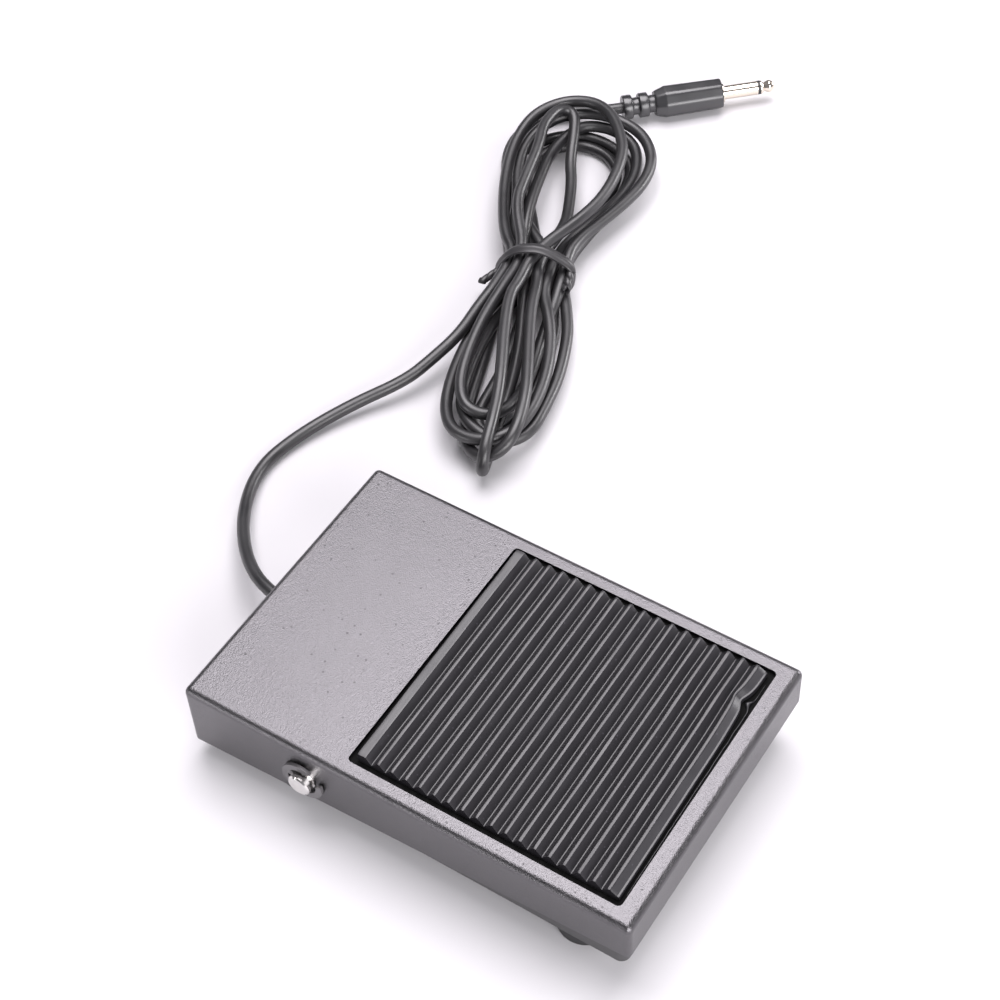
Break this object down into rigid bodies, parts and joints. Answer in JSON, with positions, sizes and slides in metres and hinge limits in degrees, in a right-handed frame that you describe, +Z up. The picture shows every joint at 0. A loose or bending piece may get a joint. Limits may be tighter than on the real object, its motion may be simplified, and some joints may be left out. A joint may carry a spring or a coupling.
{
  "type": "foot pedal",
  "caption": "Low sheet-metal foot pedal switch: a pinned cover with a ribbed rubber tread presses a snap switch in a base tray, on a tied cord with a jack plug.",
  "frame": {"origin": "middle of the pedal's footprint on the surface that the four feet stand on; the free cord and its plug are left out of that middle", "axes": "+Z up; +Y toward the rear edge where the cord leaves; -Y toward the ribbed tread's front edge; +X toward the side where the tied cord lies"},
  "size_m": [0.2372, 0.1445, 0.0225],
  "materials": {
    "cover_paint": "satin dark grey paint with a fine grain",
    "tray_paint": "satin black paint",
    "tread_rubber": "matte",
    "foot_rubber": "matte",
    "grommet_rubber": "matte",
    "pin_nickel": "polished",
    "clip_steel": "dull",
    "bright_steel": "plain zinc",
    "zinc_screw": "bright zinc",
    "spring_steel": "bright wire",
    "rivet_aluminium": "plain",
    "switch_plastic": "matte",
    "plunger_plastic": "matte",
    "clamp_plastic": "matte natural nylon",
    "terminal_brass": "plated",
    "cord_jacket": "soft sheen",
    "wire_red": "soft sheen",
    "wire_white": "soft sheen",
    "sleeve_black": "matte",
    "tie_plastic": "matte",
    "plug_plastic": "satin",
    "plug_nickel": "polished",
    "insulator_plastic": "matte"
  },
  "bodies": {
    "base": {"base_tray": "tray_paint", "pivot_pin": "pin_nickel", "e_clip_left": "clip_steel", "e_clip_right": "clip_steel", "foot_front_left": "foot_rubber", "foot_front_right": "foot_rubber", "foot_rear_left": "foot_rubber", "foot_rear_right": "foot_rubber", "foot_screws": "zinc_screw", "foot_nuts": "zinc_screw", "spring_post": "bright_steel", "return_spring": "spring_steel", "switch_case": "switch_plastic", "switch_lid": "switch_plastic", "lever_pin": "bright_steel", "switch_terminals": "terminal_brass", "switch_bracket": "bright_steel", "switch_screws": "zinc_screw", "switch_nuts": "zinc_screw", "bracket_rivets": "rivet_aluminium", "cord_grommet": "grommet_rubber", "cord_inlet": "cord_jacket", "cord_clamp": "clamp_plastic", "clamp_screws": "zinc_screw", "inner_lead_wire": "wire_red", "outer_lead_wire": "wire_white", "wire_sleeves": "sleeve_black", "cord_hank": "cord_jacket", "cord_lead": "cord_jacket", "cord_tail": "cord_jacket", "twist_tie": "tie_plastic", "plug_body": "plug_plastic", "plug_sleeve": "plug_nickel", "plug_insulator": "insulator_plastic", "plug_tip": "plug_nickel"},
    "pedal": {"top_cover": "cover_paint", "pad_plate": "tray_paint", "tread_pad": "tread_rubber"},
    "lever": {"switch_lever": "bright_steel"},
    "plunger": {"switch_plunger": "plunger_plastic"}
  },
  "joints": [
    {"name": "pedal_hinge", "type": "hinge", "parent": "base", "child": "pedal", "pos_m": [0, 0.0218, 0.0124], "axis": [1, 0, 0], "range_deg": [0, 4], "stiffness_Nm_per_rad": 6, "springref_deg": -2.86, "deforming": ["return_spring"]},
    {"name": "lever_hinge", "type": "hinge", "parent": "base", "child": "lever", "pos_m": [0, 0.0055, 0.015], "axis": [1, 0, 0], "range_deg": [0, 8.5]},
    {"name": "plunger_slide", "type": "slide", "parent": "base", "child": "plunger", "axis": [0, 0, -1], "range_m": [0, 0.00062]}
  ],
  "couplings": [
    {"joint": "lever_hinge", "follows": "pedal_hinge", "ratio": 2.1},
    {"joint": "plunger_slide", "follows": "pedal_hinge", "m_per_rad": 0.0086}
  ]
}
